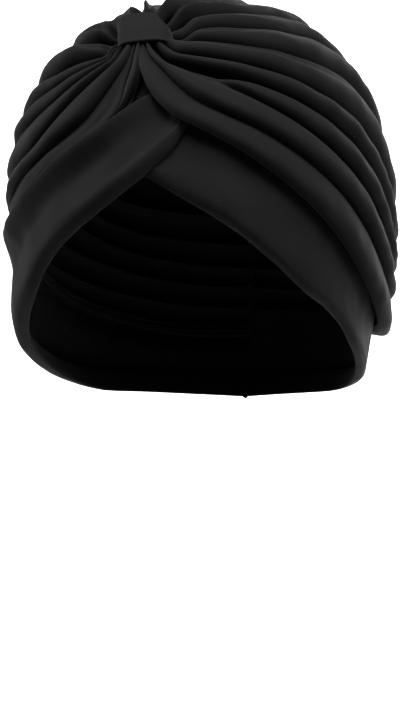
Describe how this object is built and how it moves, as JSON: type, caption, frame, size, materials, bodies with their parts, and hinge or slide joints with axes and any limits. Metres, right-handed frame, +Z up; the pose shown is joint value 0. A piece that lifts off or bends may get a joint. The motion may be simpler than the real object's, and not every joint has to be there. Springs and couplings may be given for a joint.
{
  "type": "turban headwrap",
  "caption": "Soft pleated knit turban cap, open below, with crossed smooth edge bands at the brow and a small loop gathering the pleats at the front of the crown.",
  "frame": {"origin": "the inside of the crown where the top of the head bears", "axes": "+Z up, -Y the way the wearer looks, +X the wearer's left; -Z points down into the head from the seat"},
  "size_m": [0.1678, 0.1993, 0.1893],
  "materials": {
    "black_knit": "matt stretch jersey knit, near black, with a faint sheen at grazing angles"
  },
  "bodies": {
    "root": {"left_wrap": "black_knit", "right_wrap": "black_knit", "left_band": "black_knit", "right_band": "black_knit", "knot_loop": "black_knit"}
  },
  "joints": []
}
